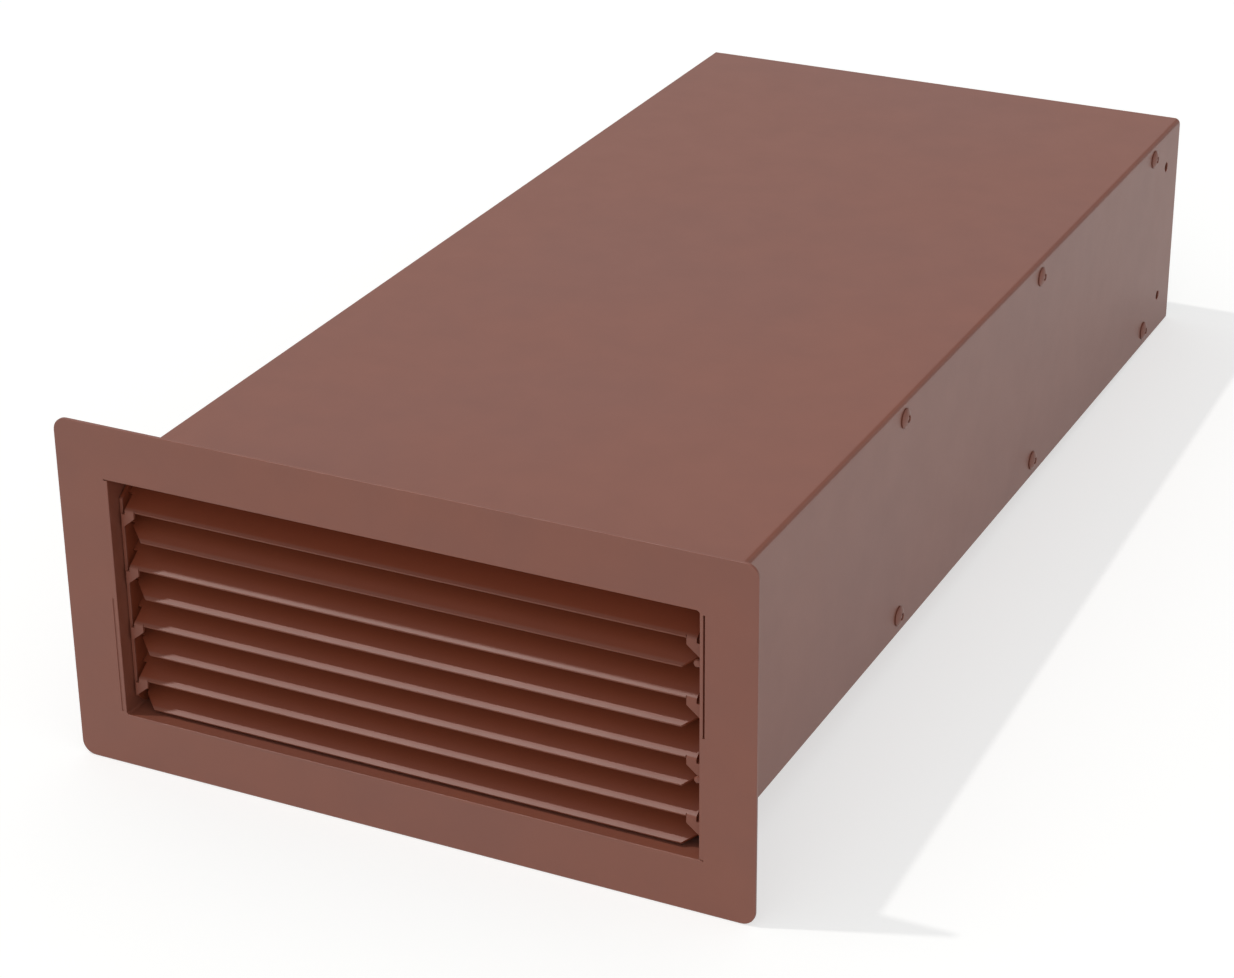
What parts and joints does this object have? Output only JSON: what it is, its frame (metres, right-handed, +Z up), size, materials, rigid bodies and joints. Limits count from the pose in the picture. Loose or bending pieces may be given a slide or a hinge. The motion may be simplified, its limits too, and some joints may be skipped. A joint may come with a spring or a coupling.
{
  "type": "air brick",
  "caption": "Through-wall air brick: a flat flanged face with a sloping-blade louvre, set on the end of a long rectangular sleeve of two nested sheet-metal shells, riveted along both sides.",
  "frame": {"origin": "middle of the width and of the depth, at the height of the face plate's lower edge", "axes": "+Y runs back along the sleeve, so the louvred face looks along -Y; +Z is up as built into a wall; +X is to the right seen from the front"},
  "size_m": [0.26, 0.5, 0.131],
  "materials": {
    "face_coat": "matt terracotta powder coat",
    "sleeve_coat": "matt terracotta powder coat",
    "louvre_coat": "matt terracotta powder coat",
    "rivet_coat": "matt terracotta powder coat"
  },
  "bodies": {
    "root": {"face_plate": "face_coat", "left_comb_plate": "louvre_coat", "left_lower_rivet_1": "rivet_coat", "left_lower_rivet_2": "rivet_coat", "left_lower_rivet_3": "rivet_coat", "left_lower_rivet_4": "rivet_coat", "left_upper_rivet_1": "rivet_coat", "left_upper_rivet_2": "rivet_coat", "left_upper_rivet_3": "rivet_coat", "left_upper_rivet_4": "rivet_coat", "louvre_blade_1": "louvre_coat", "louvre_blade_2": "louvre_coat", "louvre_blade_3": "louvre_coat", "louvre_blade_4": "louvre_coat", "louvre_blade_5": "louvre_coat", "louvre_blade_6": "louvre_coat", "louvre_blade_7": "louvre_coat", "louvre_blade_8": "louvre_coat", "lower_shell": "sleeve_coat", "right_comb_plate": "louvre_coat", "right_lower_rivet_1": "rivet_coat", "right_lower_rivet_2": "rivet_coat", "right_lower_rivet_3": "rivet_coat", "right_lower_rivet_4": "rivet_coat", "right_upper_rivet_1": "rivet_coat", "right_upper_rivet_2": "rivet_coat", "right_upper_rivet_3": "rivet_coat", "right_upper_rivet_4": "rivet_coat", "upper_shell": "sleeve_coat"}
  },
  "joints": []
}
